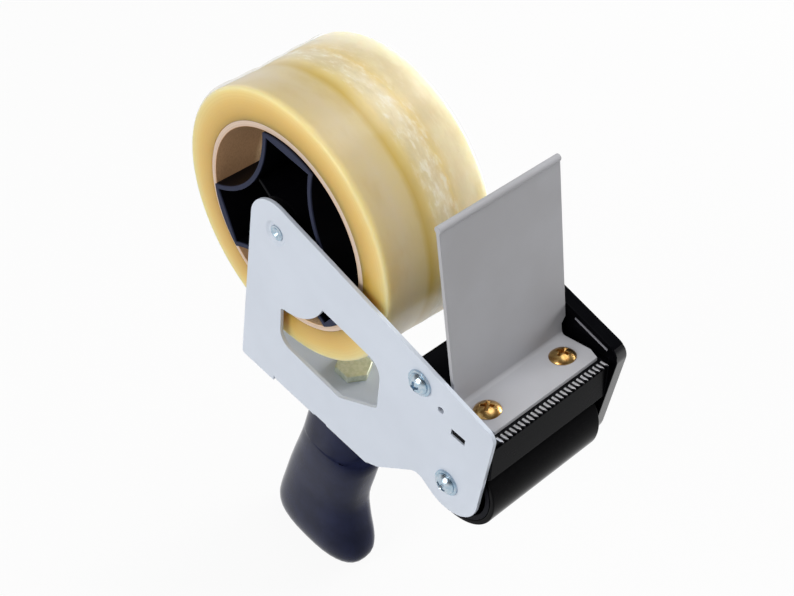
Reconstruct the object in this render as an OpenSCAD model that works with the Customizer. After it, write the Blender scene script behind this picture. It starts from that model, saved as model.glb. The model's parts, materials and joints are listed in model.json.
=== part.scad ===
// Hand-held packing tape dispenser with a one-sided sheet steel frame.
// The tape roll spins on a three-lobed hub, the moulded head carries the press roller,
// the toothed cutter and the tall press plate, and the pistol grip hangs under the floor.
// +X points to the cutter, +Y from the side plate to the free side, +Z up.

/* [Tape roll] */
// Width of the tape
tape_w = 48; // [38:1:50]
// Outer diameter of the full roll
tape_d = 105; // [92:1:112]
// Bore of the cardboard core
core_bore = 76.2; // [74:0.1:78]
// Wall of the cardboard core
core_wall = 2.2; // [1.5:0.1:4]
// Gap from the side plate to the roll
roll_gap = 2.6; // [2:0.1:5]

/* [Side plate] */
// Thickness of the sheet steel
sheet_t = 1.5; // [1:0.1:2.5]
// Radius of the plate's round eye about the hub axle
eye_r = 13.3; // [11:0.1:16]
// Hub axis forward to the plate's front edge
plate_front = 107.5; // [104:0.5:112]
// Hub axis down to the plate's front top corner
front_drop = 8; // [6:0.5:9]
// Radius of the front top corner
front_r = 4.5; // [2:0.5:6]
// Hub axis down to the underside of the floor
floor_drop = 78.2; // [75:0.1:84]
// Hub axis back to the plate's rear lower corner
tail_back = 19; // [16:0.5:24]
// Radius of the plate's nose about the roller axle
nose_r = 14; // [12:0.5:15]
// Hub axis forward to the throat behind the nose
throat_x = 77.5; // [75:0.5:78]
// Hub axis down to the throat behind the nose
throat_drop = 55.5; // [54:0.5:57]
// Inside radius of the floor bend
bend_r = 0.9; // [0.8:0.1:2.5]
// Hub axis forward to the rear end of the floor
floor_rear = 1.5; // [-2:0.5:3]
// Hub axis forward to the front end of the floor
floor_front = 52.5; // [46:0.5:56]
// Width of the floor from the side plate
floor_w = 46; // [40:1:50]
// Length of the floor's free tail behind its bend
floor_tail = 20; // [14:0.5:20]
// Length of each relief notch at the ends of the bend
relief_l = 1.5; // [1.5:0.5:7]
// Length of the relief slot in the middle of the bend
relief_slot_l = 7; // [4:0.5:9]

/* [Plate window] */
// Hub axis forward to the window's rear edge
window_rear = 3.6; // [1:0.1:8]
// Hub axis forward to the window's front edge
window_front = 55.6; // [50:0.1:60]
// Hub axis down to the window's top edge
window_top = 17.2; // [16:0.1:20]
// Hub axis down to the window's bottom edge
window_bottom = 54.2; // [50:0.1:58]
// Length of the window along its bottom edge
window_low_l = 33; // [30:0.5:36]
// Window's rear edge forward to its top corner
window_top_l = 20; // [18:0.5:22]
// Radius of the plate's round web between the eye and the window
window_web_r = 25.7; // [25:0.1:26.5]
// Hub axis down to the centre of that round
window_web_drop = 8.7; // [8:0.1:9.5]
// Hub axis forward to the centre of that round
window_web_x = 1.4; // [0:0.1:3]
// Radius of the window's upper rear corner
window_tip_r = 1.8; // [1:0.1:3]

/* [Hub and brake] */
// Diameter of the steel axle under the hub
axle_d = 10; // [9:0.5:12]
// Diameter of the axle's threaded end
axle_thread_d = 8; // [6:0.5:8.5]
// Depth of the flutes between the hub lobes
flute_depth = 17; // [12:0.5:19]
// Radius of the flutes between the hub lobes
flute_r = 42.5; // [40:0.5:50]
// Wall of the hub's flutes
hub_wall = 1.8; // [1.2:0.1:2.5]
// Wall in the middle of a hub lobe
lobe_wall = 3.3; // [2.2:0.1:4]
// Diameter of the hub's boss
boss_d = 24; // [18:1:30]
// Thickness of the hub's web
web_t = 3; // [2:0.5:5]
// Depth of the recess on the hub's free side
brake_recess = 10; // [8:0.5:14]
// Thickness of the steel brake washer
brake_washer_t = 1.5; // [1:0.1:2.5]
// Length of the brake spring as fitted
spring_l = 9; // [8:0.5:11]
// Wire diameter of the brake spring
spring_wire = 1.4; // [1:0.1:1.6]
// Mean diameter of the brake spring
spring_d = 14.4; // [14.2:0.2:17]
// Turns of the brake spring
spring_turns = 3.5; // [2:0.25:3.75]
// Diameter of the tension knob
knob_d = 26; // [22:1:34]
// Height of the tension knob
knob_h = 10; // [8:0.5:12]

/* [Head] */
// Gap from the roll to the head's cheek
cheek_gap = 5.4; // [4:0.1:8]
// Thickness of the cheek
cheek_t = 5.2; // [4:0.1:7]
// Hub axis forward to the cheek's front edge
cheek_front = 109.6; // [108:0.1:110]
// Radius of the cheek's nose about the roller axle
cheek_nose_r = 16; // [14:0.5:16.5]
// Lean of the press plate and its seat
lean = 14.2; // [10:0.2:16]
// Hub axis forward to the rear corner of the seat
seat_x = 86.4; // [86:0.2:87.6]
// Hub axis down to the rear corner of the seat
seat_drop = 17.3; // [16.6:0.1:18]
// Length of the seat along its slope
seat_l = 20; // [19.4:0.1:20.6]
// Hub axis forward to the rear edge of the deck
deck_rear = 70.7; // [69:0.1:72]
// Thickness of the moulded deck
deck_t = 4; // [3.5:0.1:5]
// Thickness of the moulded front apron
apron_t = 2.6; // [2:0.1:3]
// Hub axis down to the lower edge of the apron
apron_drop = 31.5; // [28:0.5:32]

/* [Cutter and press plate] */
// Thickness of the cutter blade
blade_t = 0.8; // [0.5:0.1:1.2]
// Pitch of the cutter teeth
tooth_pitch = 2; // [1.5:0.1:3]
// Depth of the cutter teeth
tooth_depth = 2.6; // [1.5:0.1:3]
// Length of the ground faces behind the tooth roots
ground_run = 0.7; // [0.3:0.1:1]
// Blade standing out in front of the seat, teeth included
blade_out = 3.2; // [2.8:0.1:3.4]
// Height of the press plate above the blade
plate_h = 71.8; // [60:0.1:76]
// Thickness of the press plate
press_t = 1.5; // [1:0.1:2]
// Length of the press plate's foot
foot_l = 18.8; // [18:0.1:19.4]
// Diameter of the rolled bead along the press plate's top
bead_d = 2.6; // [2.2:0.1:4]
// Side plate to the first press plate screw
foot_screw_y = 8.3; // [6.8:0.1:9]
// Spacing of the press plate screws
foot_screw_gap = 36; // [24:0.5:36]

/* [Press roller] */
// Hub axis forward to the roller axle
roller_x = 91.5; // [90:0.1:92]
// Hub axis down to the roller axle
roller_drop = 47.2; // [47:0.1:49]
// Outer diameter of the roller
roller_d = 38; // [34:0.5:38.5]
// Thickness of the rubber sleeve
sleeve_t = 2; // [1.5:0.1:4]
// Diameter of the roller axle
roller_axle_d = 8; // [7:0.5:10]
// Thickness of the spacers at the roller's ends
spacer_t = 1.2; // [0.8:0.1:2]

/* [Handle] */
// Length of the handle below the floor
handle_l = 118.2; // [116:0.1:128]
// Hub axis forward to the handle bolt
handle_x = 16.4; // [15:0.1:20]
// Side plate to the middle of the handle
handle_y = 25; // [20:0.5:26]
// Half the thickness of the grip
grip_half = 11.8; // [11:0.1:14]
// Floor down to the finger scoop
scoop_h = 26; // [22:0.5:30]
// Floor down to the shoulder under the finger
shoulder_h = 45; // [42:0.5:48]
// Floor down to the waist of the grip
waist_h = 77; // [72:0.5:80]
// Floor down to the flare at the palm end
flare_h = 102; // [99:0.5:104]
// Diameter of the handle bolt
bolt_d = 8; // [6:0.5:10]

/* [Fasteners] */
// Diameter of the frame screws
frame_screw_d = 4; // [3:0.5:5]
// Diameter of the press plate screws
foot_screw_d = 5; // [4:0.5:5]

/* [Hidden] */
$fn = 96;
eps = 0.01;
// Radial running clearance of a turning piece on its axle
run_gap = 0.05;
// Flat running clearance beside a turning piece
side_run = 0.15;
// Radial clearance between fixed pieces that slide together
fit_gap = 0.05;
// Clearance hole allowance on a screw
hole_gap = 0.2;

hub_r = core_bore / 2 - fit_gap * 2;
core_r = core_bore / 2 + core_wall;
tape_r = tape_d / 2;
hub_y0 = roll_gap - 1;
hub_y1 = roll_gap + tape_w - 1.6;
web_y1 = hub_y1 - brake_recess;
web_y0 = web_y1 - web_t;
flute_at = hub_r - flute_depth + flute_r;
hub_turn = -2.5;
flute_angles = [hub_turn + 30, hub_turn + 150, hub_turn + 270];
rib_t = 1.6;
rib_recess = 3;

bend_out = bend_r + sheet_t;
floor_top = -floor_drop + sheet_t;
front_top = [plate_front, -front_drop];
nose = [roller_x, -roller_drop];
throat = [throat_x, -throat_drop];
tail = [-tail_back, -floor_drop];
notch_top = -floor_drop + bend_out;
throat_r = 5.5;
floor_corner_r = 5;
// Open slit between the side plate and the floor's tail
tail_slit = bend_r + 1.5;

head_screw = [74, -11];
pin_hole = [84.1, -15.8];
pin_hole_d = 2.6;
slot = [92.8, -21.5];
slot_size = [6.3, 2.9];
// Depth of the head's lug below the outer face of the plate's slot
lug_sunk = 0.4;
lug_l = slot_size[0] - 2 * hole_gap;
lug_h = slot_size[1] - 2 * hole_gap;
spigot_d = 6;
dimple_d = 10.4;
dimple_floor_d = 8.2;
dimple_h = 0.8;
// Riveted end of the axle: depth below the plate's face, width and depth of its cup
rivet_sunk = 0.4;
rivet_cup_d = 4.8;
rivet_cup_h = 1.2;

collar_d = 16;
collar_y1 = hub_y0 + 1.6;
journal_y1 = web_y1 + side_run + brake_washer_t + 0.6;
brake_y0 = web_y1 + side_run;
spring_y0 = brake_y0 + brake_washer_t;
spring_y1 = spring_y0 + spring_l;
seat_washer_t = 1.2;
knob_y0 = spring_y1 + seat_washer_t;
knob_y1 = knob_y0 + knob_h;
thread_y1 = knob_y1 - 2.5;

cheek_y0 = roll_gap + tape_w + cheek_gap;
cheek_y1 = cheek_y0 + cheek_t;
// Raised line on the cheek's inner face: [drop below the top edge, width, height]
cheek_line = [2, 0.7, 0.3];
cheek_line_rear = seat_x + 3;
cheek_line_front = cheek_front - 5;
seat_corner = [seat_x, -seat_drop];
// Height of the deck's step behind the seat
deck_step_h = 14;
blade_step = 4.6;
blade_margin = 1;
blade_l = floor((cheek_y0 - 2 * blade_margin) / tooth_pitch - 0.5) * tooth_pitch;
blade_tip = seat_l + blade_out;
press_y0 = 2.2;
press_y1 = cheek_y0 - 0.5;
foot_y1 = press_y1 - 2.1;
// Corner cut off the foot, along the slope and along its front
foot_cut = [4.4, 1.9];
press_bend = 1.6;
foot_screw_at = 9.8;
foot_screw_ys = [foot_screw_y, foot_screw_y + foot_screw_gap];
foot_head_d = 1.9 * foot_screw_d;
foot_head_h = 0.5 * foot_screw_d;
nut_af = 1.6 * foot_screw_d;
nut_t = 0.8 * foot_screw_d;
nut_sunk = 2;

roller_y0 = spacer_t + side_run;
roller_y1 = cheek_y0 - spacer_t - side_run;
roller_r = roller_d / 2;
roller_core_r = roller_r - sleeve_t;
roller_room = 2.2;
spacer_d = roller_axle_d + 6;

washer_t = 0.9;
frame_head_d = 2 * frame_screw_d;
frame_head_h = 0.65 * frame_screw_d;
frame_washer_d = 2.5 * frame_screw_d;
frame_screw_l = 12;

bolt_af = 1.625 * bolt_d;
bolt_head_h = 0.42 * bolt_d;
insert_wall = 3;
insert_d = bolt_d + 2 * insert_wall;
insert_l = 20;
bolt_reach = insert_l - 2;

y_low = -sheet_t - washer_t - frame_head_h;
y_high = cheek_y1 + washer_t + frame_head_h;
x_mid = (roller_x + roller_r - tape_r) / 2;
y_mid = (y_low + y_high) / 2;
z_low = -floor_drop - handle_l;

// Point on a circle at an angle
function on_circle(centre, r, angle) = centre + r * [cos(angle), sin(angle)];

// Point where a line from p touches a circle, on the side +1 or -1
function tangent_point(centre, r, p, side) =
    let (d = p - centre)
    on_circle(centre, r, atan2(d[1], d[0]) + side * acos(r / norm(d)));

// Arc of radius r that rounds the corner b between a and c
function corner_arc(a, b, c, r, steps = 8) =
    let (
        u = (a - b) / norm(a - b),
        v = (c - b) / norm(c - b),
        half = acos(u * v) / 2,
        reach = r / tan(half),
        centre = b + (u + v) / norm(u + v) * r / sin(half),
        from = b + u * reach - centre,
        to = b + v * reach - centre,
        start = atan2(from[1], from[0]),
        turn = atan2(from[0] * to[1] - from[1] * to[0], from * to)
    )
    [for (k = [0 : steps]) on_circle(centre, r, start + turn * k / steps)];

// Outline from corners given as [x, z, radius]
function rounded(corners) =
    let (n = len(corners), at = function (i) [corners[i][0], corners[i][1]])
    [for (i = [0 : n - 1])
        each corners[i][2] == 0
            ? [at(i)]
            : corner_arc(at((i + n - 1) % n), at(i), at((i + 1) % n), corners[i][2])];

// Corner with its radius
function corner(p, r = 0) = [p[0], p[1], r];

// Point on the leaning seat, u along its slope and w square to it, in the side view
function on_seat(u, w) =
    seat_corner + u * [cos(lean), sin(lean)] + w * [-sin(lean), cos(lean)];

// Height of the plate's top edge at x
function top_edge(x) =
    let (t = tangent_point([0, 0], eye_r, front_top, 1))
    t[1] + (x - t[0]) * (front_top[1] - t[1]) / (front_top[0] - t[0]);

// Whole object on its frame: middle of the box in X and Y, grip end at Z zero
module placed() {
    translate([-x_mid, -y_mid, -z_low]) children();
}

// Extrudes a side view from y0 to y1
module along_y(y0, y1) {
    translate([0, y1, 0]) rotate([90, 0, 0]) linear_extrude(y1 - y0) children();
}

// Round bar along Y at a point of the side view
module bar_y(at, y0, y1, d, d_end = 0) {
    translate([at[0], y0, at[1]]) rotate([-90, 0, 0])
        cylinder(d1 = d, d2 = d_end > 0 ? d_end : d, h = y1 - y0);
}

// Ring along Y at a point of the side view
module ring_y(at, y0, y1, d_out, d_in) {
    difference() {
        bar_y(at, y0, y1, d_out);
        bar_y(at, y0 - 1, y1 + 1, d_in);
    }
}

// Frame of the leaning seat: X along its slope, Z square to it
module on_lean() {
    translate([seat_x, 0, -seat_drop]) rotate([0, -lean, 0]) children();
}

// Side view of the steel plate
module plate_outline() {
    circle(eye_r);
    translate(nose) circle(nose_r);
    polygon(rounded([
        corner(tangent_point([0, 0], eye_r, front_top, 1)),
        corner(front_top, front_r),
        corner(tangent_point(nose, nose_r, front_top, -1)),
        corner(tangent_point(nose, nose_r, throat, 1)),
        corner(throat, throat_r),
        corner([floor_front + 6, notch_top + 2.7], 1),
        corner([floor_front + 1, notch_top]),
        corner([floor_rear - relief_l, notch_top]),
        corner([floor_rear - relief_l, -floor_drop]),
        corner(tail, 1.5),
        corner(tangent_point([0, 0], eye_r, tail, -1))
    ]));
}

// Side view of the window in the plate
module window_outline() {
    web_at = [window_web_x, -window_web_drop];
    tip_x = window_rear + window_tip_r;
    tip_reach = window_web_r + window_tip_r - 2 * eps;
    tip_at = [tip_x, web_at[1] - sqrt(tip_reach ^ 2 - (tip_x - web_at[0]) ^ 2)];
    tip_from = atan2(web_at[1] - tip_at[1], web_at[0] - tip_at[0]);
    difference() {
        polygon(rounded([
            for (i = [0 : 6])
                corner(on_circle(tip_at, window_tip_r, tip_from + (180 - tip_from) * i / 6)),
            corner([window_rear, -window_bottom + 2], 6),
            corner([window_rear + window_low_l, -window_bottom], 3),
            corner([window_front, -window_bottom + 12], 3),
            corner([window_front, -window_top - 3], 7),
            corner([window_rear + window_top_l, -window_top])
        ]));
        translate(web_at) circle(window_web_r);
    }
}

// Quarter round bend and flat of the floor, which runs on behind the bend as a free tail
module floor_flange() {
    slot_x = (floor_rear + floor_front - relief_slot_l) / 2;
    difference() {
        union() {
            intersection() {
                translate([floor_rear, bend_r, notch_top]) rotate([0, 90, 0])
                    difference() {
                        cylinder(r = bend_out, h = floor_front - floor_rear);
                        translate([0, 0, -1]) cylinder(r = bend_r, h = floor_front - floor_rear + 2);
                    }
                translate([floor_rear, -sheet_t, notch_top - bend_out])
                    cube([floor_front - floor_rear, bend_out, bend_out]);
            }
            translate([0, 0, -floor_drop]) linear_extrude(sheet_t)
                polygon(rounded([
                    corner([floor_rear, bend_r - eps]),
                    corner([floor_front, bend_r - eps]),
                    corner([floor_front, floor_w], floor_corner_r),
                    corner([floor_rear - floor_tail, floor_w], floor_corner_r),
                    corner([floor_rear - floor_tail, tail_slit], 2),
                    corner([floor_rear, tail_slit])
                ]));
        }
        translate([slot_x, -sheet_t - 1, notch_top - bend_out - 1])
            cube([relief_slot_l, sheet_t + 1 + bend_r + 1.5, bend_out + 1]);
    }
}

module side_plate() {
    color([0.81, 0.84, 0.89]) placed() difference() {
        union() {
            along_y(-sheet_t, 0) difference() {
                plate_outline();
                window_outline();
            }
            floor_flange();
            bar_y([0, 0], -eps, dimple_h, dimple_d + 1);
        }
        bar_y([0, 0], -sheet_t - eps, -sheet_t + dimple_h, dimple_d, dimple_floor_d);
        bar_y([0, 0], -sheet_t - 1, dimple_h + 1, spigot_d + 2 * fit_gap);
        for (at = [head_screw, nose])
            bar_y(at, -sheet_t - 1, 1, frame_screw_d + 2 * hole_gap);
        bar_y(pin_hole, -sheet_t - 1, 1, pin_hole_d);
        translate([slot[0] - slot_size[0] / 2, -sheet_t - 1, slot[1] - slot_size[1] / 2])
            cube([slot_size[0], sheet_t + 2, slot_size[1]]);
        translate([handle_x, handle_y, -floor_drop - 1])
            cylinder(d = bolt_d + 2 * hole_gap, h = sheet_t + 2);
    }
}

module hub_axle() {
    rivet_end = rivet_sunk - sheet_t;
    color([0.78, 0.8, 0.83]) placed() difference() {
        union() {
            bar_y([0, 0], rivet_end, dimple_h + eps, spigot_d);
            bar_y([0, 0], dimple_h, collar_y1, collar_d);
            bar_y([0, 0], collar_y1 - eps, journal_y1, axle_d);
            bar_y([0, 0], journal_y1 - eps, thread_y1 - 1, axle_thread_d);
            bar_y([0, 0], thread_y1 - 1 - eps, thread_y1, axle_thread_d, axle_thread_d - 2);
        }
        bar_y([0, 0], rivet_end - eps, rivet_end + rivet_cup_h, rivet_cup_d, rivet_cup_d / 3);
    }
}

// Side view of the hub: a round cut by three shallow flutes
module hub_outline() {
    difference() {
        circle(hub_r);
        for (a = flute_angles) translate(on_circle([0, 0], flute_at, a)) circle(flute_r, $fn = 180);
    }
}

// Side view of the hollow inside the hub, flat behind each lobe
module hub_hollow() {
    flat = hub_r - lobe_wall;
    difference() {
        polygon([for (a = flute_angles) on_circle([0, 0], 2 * flat, a)]);
        for (a = flute_angles)
            translate(on_circle([0, 0], flute_at, a)) circle(flute_r + hub_wall, $fn = 180);
    }
}

module tape_hub() {
    rib_l = hub_r - flute_depth - hub_wall / 2;
    web_mid = web_y0 + web_t / 2;
    boss_y0 = collar_y1 + side_run;
    color([0.09, 0.09, 0.11]) placed() difference() {
        union() {
            difference() {
                along_y(hub_y0, hub_y1) hub_outline();
                along_y(hub_y0 - 1, web_y0) hub_hollow();
                along_y(web_y1, hub_y1 + 1) hub_hollow();
            }
            bar_y([0, 0], boss_y0, web_mid, boss_d);
            for (a = flute_angles) rotate([0, -a, 0])
                translate([0, hub_y0 + rib_recess, -rib_t / 2])
                    cube([rib_l, web_mid - hub_y0 - rib_recess, rib_t]);
        }
        bar_y([0, 0], hub_y0, hub_y1, axle_d + 2 * run_gap);
        bar_y([0, 0], hub_y0, boss_y0, collar_d + 2);
    }
}

module tape_core() {
    color([0.78, 0.66, 0.54]) placed()
        ring_y([0, 0], roll_gap, roll_gap + tape_w, 2 * core_r, core_bore);
}

module tape_roll() {
    color([0.86, 0.75, 0.45]) placed()
        ring_y([0, 0], roll_gap, roll_gap + tape_w, tape_d, 2 * (core_r + fit_gap));
}

module brake_washer() {
    color([0.7, 0.72, 0.74]) placed()
        ring_y([0, 0], brake_y0, spring_y0, spring_d + 8, axle_d + 4 * fit_gap);
}

// Helix of the brake spring about the hub axis
spring_rings = ceil(spring_turns * 8);
spring_sides = 6;
spring_rise = (spring_l - spring_wire) / spring_turns;
function spring_centre(k) =
    let (turn = spring_turns * k / spring_rings)
    [
        spring_d / 2 * cos(360 * turn),
        spring_y0 + spring_wire / 2 + spring_rise * turn,
        spring_d / 2 * sin(360 * turn)
    ];
function spring_ring(k) =
    let (
        angle = 360 * spring_turns * k / spring_rings,
        outward = [cos(angle), 0, sin(angle)],
        run = [-PI * spring_d * sin(angle), spring_rise, PI * spring_d * cos(angle)],
        across = cross(run / norm(run), outward)
    )
    [for (s = [0 : spring_sides - 1])
        spring_centre(k) + spring_wire / 2 * (cos(60 * s) * outward + sin(60 * s) * across)];
spring_gap = min([
    for (i = [0 : spring_rings], j = [i + 4 : 1 : spring_rings])
        norm(spring_centre(i) - spring_centre(j)) - spring_wire
]);
echo(str("Least gap between the turns of the brake spring: ", spring_gap, " mm"));

module brake_spring() {
    n = spring_sides;
    points = [for (k = [0 : spring_rings]) each spring_ring(k)];
    sides = [for (k = [0 : spring_rings - 1], s = [0 : n - 1])
        let (a = k * n + s, b = k * n + (s + 1) % n)
        each [[a, a + n, b], [b, a + n, b + n]]];
    starts = [for (s = [1 : n - 2]) [0, s, s + 1]];
    ends = [for (s = [1 : n - 2])
        let (first = spring_rings * n)
        [first, first + s + 1, first + s]];
    color([0.75, 0.77, 0.8]) placed() polyhedron(points, concat(sides, starts, ends));
}

module spring_seat() {
    color([0.7, 0.72, 0.74]) placed()
        ring_y([0, 0], spring_y1, knob_y0, spring_d + 4, axle_thread_d + 2 * run_gap);
}

module tension_knob() {
    grips = 8;
    grip_d = 6;
    color([0.09, 0.09, 0.11]) placed() difference() {
        union() {
            bar_y([0, 0], knob_y0, knob_y0 + 2, axle_thread_d + 8);
            bar_y([0, 0], knob_y0 + 2 - eps, knob_y1 - 1, knob_d);
            bar_y([0, 0], knob_y1 - 1 - eps, knob_y1, knob_d, knob_d - 2);
        }
        bar_y([0, 0], knob_y0 - 1, knob_y1 + 1, axle_thread_d + 2 * run_gap);
        for (k = [0 : grips - 1])
            bar_y(on_circle([0, 0], knob_d / 2 + grip_d / 4, 360 * k / grips),
                  knob_y0 + 1, knob_y1 + 1, grip_d);
    }
}

// Side view of the cheek, its top in line with the plate's
module cheek_outline() {
    rear_top = [deck_rear + 1.5, top_edge(deck_rear + 1.5)];
    cheek_top = [cheek_front, top_edge(cheek_front)];
    cheek_rear = [deck_rear - 1, -throat_drop / 2];
    translate(nose) circle(cheek_nose_r);
    polygon(rounded([
        corner(rear_top, 3),
        corner(cheek_top, front_r + 1),
        corner(tangent_point(nose, cheek_nose_r, cheek_top, -1)),
        corner(tangent_point(nose, cheek_nose_r, cheek_rear, 1)),
        corner(cheek_rear, 4)
    ]));
}

// Side view of the raised line on the cheek's inner face
module cheek_line_outline() {
    rear = [cheek_line_rear, top_edge(cheek_line_rear) - cheek_line[0]];
    front = [cheek_line_front, top_edge(cheek_line_front) - cheek_line[0]];
    polygon([rear, front, front - [0, cheek_line[1]], rear - [0, cheek_line[1]]]);
}

// Side view of the deck, seat and apron, hollow over the roller
module deck_outline() {
    rear_top = [deck_rear, top_edge(deck_rear) - 1.6];
    step_top = on_seat(0, deck_step_h) + [-0.4, 0];
    front = on_seat(seat_l, 0);
    ledge = front[1] - 4;
    apron_top = [front[0] + 0.7, ledge];
    apron_foot = [plate_front + 0.3, -apron_drop];
    difference() {
        polygon(rounded([
            corner(rear_top, 1),
            corner([step_top[0], top_edge(step_top[0]) - 1.6]),
            corner(on_seat(0, blade_t)),
            corner(on_seat(blade_step, blade_t)),
            corner(on_seat(blade_step, 0)),
            corner(front),
            corner([front[0], ledge]),
            corner(apron_top),
            corner(apron_foot, 0.8),
            corner(apron_foot - [apron_t, 0], 0.8),
            corner(apron_top - [apron_t + 0.6, 0]),
            corner(on_seat(seat_l - apron_t - 2, -deck_t)),
            corner(on_seat(2, -deck_t), 3),
            corner([head_screw[0] + 7, head_screw[1] - 12], 2),
            corner([deck_rear, head_screw[1] - 12], 2)
        ]));
        translate(nose) circle(roller_r + roller_room);
    }
    translate(head_screw) circle(6);
}

// Side view of one moulded rib between the deck, the apron and the roller
module rib_outline() {
    front = on_seat(seat_l, 0);
    difference() {
        polygon([
            on_seat(1, -1), on_seat(seat_l - 2, -1),
            [front[0] - 1, front[1] - 8], [front[0] - 3, -apron_drop + 6],
            [head_screw[0] + 6, head_screw[1] - 11]
        ]);
        translate(nose) circle(roller_r + roller_room + 1);
    }
}

module head_housing() {
    rib_w = 2;
    deep = 30;
    color([0.08, 0.08, 0.09]) placed() difference() {
        union() {
            along_y(0, cheek_y0 + eps) deck_outline();
            along_y(cheek_y0, cheek_y1) cheek_outline();
            along_y(cheek_y0 - cheek_line[2], cheek_y0 + eps) cheek_line_outline();
            for (k = [1 : 3]) {
                y = k * cheek_y0 / 4;
                along_y(y - rib_w / 2, y + rib_w / 2) rib_outline();
            }
            translate([slot[0] - lug_l / 2, lug_sunk - sheet_t, slot[1] - lug_h / 2])
                cube([lug_l, sheet_t + 4, lug_h]);
            translate([slot[0] - slot_size[0], 0, slot[1] - slot_size[1]])
                cube([2 * slot_size[0], 4, 2.6 * slot_size[1]]);
        }
        bar_y(head_screw, -1, frame_screw_l + 1, frame_screw_d + 2 * fit_gap);
        bar_y(nose, cheek_y0 - 1, cheek_y1 + 1, frame_screw_d + 2 * hole_gap);
        on_lean() for (y = foot_screw_ys) translate([foot_screw_at, y, 0]) {
            translate([0, 0, -deep]) cylinder(d = foot_screw_d + 2 * hole_gap, h = deep + deck_t);
            translate([0, 0, -deep - deck_t + nut_sunk])
                cylinder(d = (nut_af + 2 * hole_gap) / cos(30), h = deep, $fn = 6);
        }
    }
}

// Plan of the cutter: a strip with a row of pointed teeth along its front
module blade_plan() {
    teeth = round(blade_l / tooth_pitch);
    root = blade_tip - tooth_depth;
    polygon(concat(
        [[blade_step + 0.2, 0], [root, 0]],
        [for (k = [0 : teeth - 1]) each [
            [root, k * tooth_pitch + 0.15],
            [blade_tip, (k + 0.5) * tooth_pitch],
            [root, (k + 1) * tooth_pitch - 0.15]
        ]],
        [[root, blade_l], [blade_step + 0.2, blade_l]]
    ));
}

// Section across the ground teeth: a ridge along the middle of each tooth
module ground_section() {
    teeth = round(blade_l / tooth_pitch);
    gullet_t = 0.25 * blade_t;
    polygon(concat(
        [[blade_l, 0], [0, 0]],
        [for (k = [0 : teeth - 1]) each [
            [k * tooth_pitch, gullet_t],
            [(k + 0.5) * tooth_pitch, blade_t]
        ]],
        [[blade_l, gullet_t]]
    ));
}

module cutter_blade() {
    ground_from = blade_tip - tooth_depth - ground_run;
    color([0.3, 0.3, 0.32]) placed() on_lean() difference() {
        translate([0, blade_margin, 0]) intersection() {
            linear_extrude(blade_t) blade_plan();
            union() {
                cube([ground_from, blade_l, blade_t]);
                translate([ground_from - eps, 0, 0]) rotate([90, 0, 90])
                    linear_extrude(blade_tip - ground_from + 1) ground_section();
            }
        }
        for (y = foot_screw_ys) translate([foot_screw_at, y, -1])
            cylinder(d = foot_screw_d + 2 * hole_gap, h = blade_t + 2);
    }
}

// Section of the press plate: foot, bend, tall plate and the rolled bead on top
module press_section() {
    bead_at = blade_t + plate_h - bead_d / 2;
    polygon(rounded([
        corner([foot_l, blade_t]),
        corner([foot_l, blade_t + press_t]),
        corner([press_t, blade_t + press_t], press_bend),
        corner([press_t, bead_at]),
        corner([0, bead_at]),
        corner([0, blade_t], press_bend + press_t)
    ]));
    translate([press_t / 2, bead_at]) circle(d = bead_d, $fn = 48);
}

module press_plate() {
    side_cut = press_y1 - foot_y1;
    cut_z = blade_t + 6;
    color([0.62, 0.63, 0.66]) placed() on_lean() difference() {
        along_y(press_y0, press_y1) press_section();
        translate([-1, foot_y1, -1]) cube([foot_l + 2, side_cut + 1, cut_z + 1]);
        translate([-1, foot_y1, cut_z]) rotate([0, 90, 0]) linear_extrude(press_t + 2)
            polygon([[0.1, 0], [0.1, side_cut + 1], [-side_cut, side_cut + 1], [-side_cut, side_cut]]);
        translate([foot_l, foot_y1, 0]) linear_extrude(blade_t + press_t + 1)
            polygon([[-foot_cut[0], 0], [0, -foot_cut[1]], [1, -foot_cut[1]], [1, 1], [-foot_cut[0], 1]]);
        for (y = foot_screw_ys) translate([foot_screw_at, y, 0])
            cylinder(d = foot_screw_d + 2 * hole_gap, h = blade_t + press_t + 1);
    }
}

// Domed head standing on Z zero, with a cross recess
module domed_head(d, h) {
    cross_l = 0.55 * d;
    cross_w = 0.13 * d;
    dome_r = (d * d / 4 + h * h) / (2 * h);
    difference() {
        intersection() {
            translate([0, 0, h - dome_r]) sphere(dome_r);
            cylinder(d = d, h = h);
        }
        for (turn = [0, 90]) rotate(turn)
            translate([-cross_l / 2, -cross_w / 2, h * 0.45]) cube([cross_l, cross_w, h]);
    }
}

module press_screws() {
    reach = deck_t + nut_t;
    base = blade_t + press_t;
    color([0.75, 0.58, 0.28]) placed() on_lean() for (y = foot_screw_ys)
        translate([foot_screw_at, y, base]) {
            domed_head(foot_head_d, foot_head_h);
            translate([0, 0, -base - reach]) cylinder(d = foot_screw_d, h = base + reach + eps);
        }
}

module press_nuts() {
    color([0.72, 0.74, 0.76]) placed() on_lean() for (y = foot_screw_ys)
        translate([foot_screw_at, y, -deck_t + nut_sunk - nut_t]) difference() {
            cylinder(d = nut_af / cos(30), h = nut_t, $fn = 6);
            translate([0, 0, -1]) cylinder(d = foot_screw_d + 2 * fit_gap, h = nut_t + 2);
        }
}

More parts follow.
